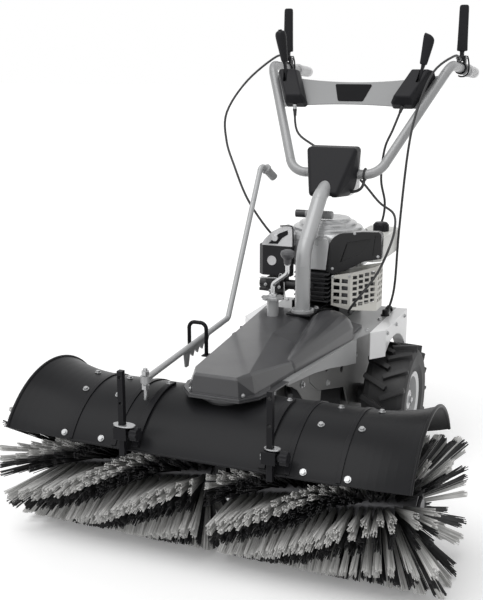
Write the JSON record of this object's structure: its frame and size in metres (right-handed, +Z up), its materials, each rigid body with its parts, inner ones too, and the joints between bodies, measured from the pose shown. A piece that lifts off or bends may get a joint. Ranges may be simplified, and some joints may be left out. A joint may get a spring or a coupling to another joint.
{
  "type": "power brush sweeper",
  "caption": "Walk-behind engine-driven brush sweeper with a swivelling roller brush under a hood, driven wheels and a bent-tube handlebar.",
  "frame": {"origin": "on the ground under the middle of the bounding box", "axes": "+Y from the brush to the handles, +Z up"},
  "size_m": [1.0782, 1.5942, 1.3001],
  "materials": {
    "deck_paint": "silver-grey lacquer",
    "black_paint": "satin black paint",
    "cover_plastic": "charcoal moulding",
    "hood_paint": "charcoal satin paint",
    "steel": "zinc plated",
    "tube": "silver lacquer",
    "cast": "cast",
    "shroud": "silver moulding",
    "panel_grey": "grey lacquer",
    "black_plastic": "moulded",
    "gloss_black": "gloss moulding",
    "grey_plastic": "moulded",
    "white_plastic": "moulded",
    "rubber": "soft",
    "tyre": "treaded",
    "bristle": "bundled filaments"
  },
  "bodies": {
    "chassis": {"deck_tray": "deck_paint", "chassis_plates": "deck_paint", "transmission_case": "cast", "fenders": "deck_paint", "belt_cover": "cover_plastic", "engine_stand": "black_paint", "engine_block": "black_paint", "blower_shroud": "shroud", "engine_cover": "gloss_black", "fuel_tank": "white_plastic", "air_cleaner": "black_plastic", "carburettor": "cast", "muffler": "panel_grey", "muffler_guard": "cast", "steering_column": "tube", "column_cover": "black_plastic", "column_cover_back": "grey_plastic", "handlebar": "tube", "dash_panel": "tube", "gear_console": "black_plastic", "throttle_console": "black_plastic", "lever_perches": "black_plastic", "hand_grips": "white_plastic", "control_cables": "rubber", "height_sleeve": "deck_paint", "rod_guide": "black_paint", "drive_belt": "rubber"},
    "wheels": {"wheel_axle": "steel", "wheel_rims": "steel", "wheel_tyres": "tyre"},
    "brush_head": {"swivel_gearbox": "cast", "brush_hood": "hood_paint", "hood_extensions": "hood_paint", "hood_caps": "hood_paint", "hood_straps": "black_paint", "hood_bolts": "steel", "bar_clamps": "black_paint"},
    "brush": {"brush_shaft": "steel", "left_bristles": "bristle", "right_bristles": "bristle"},
    "rod": {"angle_rod": "tube", "rod_grip": "grey_plastic"},
    "left_clutch_lever": {"left_clutch_lever": "black_plastic"},
    "right_clutch_lever": {"right_clutch_lever": "black_plastic"},
    "gear_lever": {"gear_lever": "black_plastic"},
    "gear_button": {"gear_button": "black_plastic"},
    "throttle_lever": {"throttle_lever": "black_plastic"},
    "starter_grip": {"starter_grip": "grey_plastic"},
    "fuel_cap": {"fuel_cap": "black_plastic"},
    "height_crank": {"height_crank": "steel"},
    "height_stem": {"height_stem": "steel"},
    "castor_fork": {"castor_fork": "black_paint"},
    "castor_wheel": {"castor_wheel": "rubber"},
    "engine_pulley": {"engine_pulley": "cast"},
    "brush_pulley": {"brush_pulley": "cast"},
    "idler_arm": {"idler_arm": "steel"},
    "left_bar": {"left_bar": "black_paint"},
    "right_bar": {"right_bar": "black_paint"},
    "left_knob": {"left_knob": "black_plastic"},
    "right_knob": {"right_knob": "black_plastic"}
  },
  "joints": [
    {"name": "wheel_spin", "type": "hinge", "parent": "chassis", "child": "wheels", "pos_m": [0, 0.136, 0.164], "axis": [1, 0, 0], "continuous": true},
    {"name": "brush_swivel", "type": "hinge", "parent": "chassis", "child": "brush_head", "pos_m": [0, -0.596, 0.384], "axis": [0, 0, 1], "range_deg": [-18, 18]},
    {"name": "brush_spin", "type": "hinge", "parent": "brush_head", "child": "brush", "pos_m": [0, -0.596, 0.175], "axis": [1, 0, 0], "continuous": true},
    {"name": "rod_swing", "type": "hinge", "parent": "brush_head", "child": "rod", "pos_m": [-0.178, -0.665, 0.418], "axis": [0, 0, 1], "range_deg": [-14, 14]},
    {"name": "left_clutch", "type": "hinge", "parent": "chassis", "child": "left_clutch_lever", "pos_m": [-0.28653, 0.5776, 1.14305], "axis": [-1, 0, 0], "range_deg": [0, 78], "stiffness_Nm_per_rad": 1.2, "springref_deg": -20.05},
    {"name": "right_clutch", "type": "hinge", "parent": "chassis", "child": "right_clutch_lever", "pos_m": [0.28653, 0.5776, 1.14305], "axis": [-1, 0, 0], "range_deg": [0, 78], "stiffness_Nm_per_rad": 1.2, "springref_deg": -20.05},
    {"name": "gear_shift", "type": "hinge", "parent": "chassis", "child": "gear_lever", "pos_m": [-0.206, 0.3537, 1.06955], "axis": [0.9848, 0, 0.1736], "range_deg": [-15, 15]},
    {"name": "gear_release", "type": "slide", "parent": "gear_lever", "child": "gear_button", "axis": [0.1736, 0, -0.9848], "range_m": [0, 0.006], "stiffness_N_per_m": 300, "springref_m": -0.003},
    {"name": "throttle_turn", "type": "hinge", "parent": "chassis", "child": "throttle_lever", "pos_m": [0.206, 0.3537, 1.06955], "axis": [0.9848, 0, -0.1736], "range_deg": [-15, 15]},
    {"name": "starter_pull", "type": "slide", "parent": "chassis", "child": "starter_grip", "axis": [0, 1, 0], "range_m": [0, 0.5], "stiffness_N_per_m": 15, "springref_m": -0.3},
    {"name": "cap_turn", "type": "hinge", "parent": "chassis", "child": "fuel_cap", "pos_m": [0.146, 0.198, 0.65], "axis": [0, 0, 1], "range_deg": [0, 120]},
    {"name": "crank_turn", "type": "hinge", "parent": "chassis", "child": "height_crank", "pos_m": [-0.07, -0.122, 0.503], "axis": [0, 0, 1], "range_deg": [-1800, 1800]},
    {"name": "stem_lift", "type": "slide", "parent": "chassis", "child": "height_stem", "axis": [0, 0, 1], "range_m": [-0.03, 0.03]},
    {"name": "castor_swivel", "type": "hinge", "parent": "height_stem", "child": "castor_fork", "pos_m": [-0.07, -0.122, 0.196], "axis": [0, 0, 1], "continuous": true},
    {"name": "castor_spin", "type": "hinge", "parent": "castor_fork", "child": "castor_wheel", "pos_m": [-0.07, -0.09, 0.06], "axis": [1, 0, 0], "continuous": true},
    {"name": "left_bar_slide", "type": "slide", "parent": "brush_head", "child": "left_bar", "axis": [0, 0, 1], "range_m": [-0.045, 0.03]},
    {"name": "right_bar_slide", "type": "slide", "parent": "brush_head", "child": "right_bar", "axis": [0, 0, 1], "range_m": [-0.045, 0.03]},
    {"name": "left_knob_turn", "type": "hinge", "parent": "brush_head", "child": "left_knob", "pos_m": [-0.176, -0.781, 0.33], "axis": [1, 0, 0], "range_deg": [0, 180]},
    {"name": "right_knob_turn", "type": "hinge", "parent": "brush_head", "child": "right_knob", "pos_m": [0.176, -0.781, 0.33], "axis": [1, 0, 0], "range_deg": [0, 180]},
    {"name": "brush_pulley_spin", "type": "hinge", "parent": "brush_head", "child": "brush_pulley", "pos_m": [0, -0.596, 0.414], "axis": [0, 0, 1], "continuous": true},
    {"name": "engine_pulley_spin", "type": "hinge", "parent": "chassis", "child": "engine_pulley", "pos_m": [0, 0.146, 0.414], "axis": [0, 0, 1], "continuous": true},
    {"name": "idler_swing", "type": "hinge", "parent": "chassis", "child": "idler_arm", "pos_m": [0.112, -0.059, 0.42], "axis": [0, 0, 1], "range_deg": [-14, 0]}
  ],
  "couplings": [
    {"joint": "rod_swing", "follows": "brush_swivel", "ratio": -0.76},
    {"joint": "stem_lift", "follows": "crank_turn", "m_per_rad": 0.000954},
    {"joint": "brush_pulley_spin", "follows": "brush_spin", "ratio": 4},
    {"joint": "engine_pulley_spin", "follows": "brush_spin", "ratio": 6.9538},
    {"joint": "idler_swing", "follows": "right_clutch", "ratio": -0.17}
  ]
}
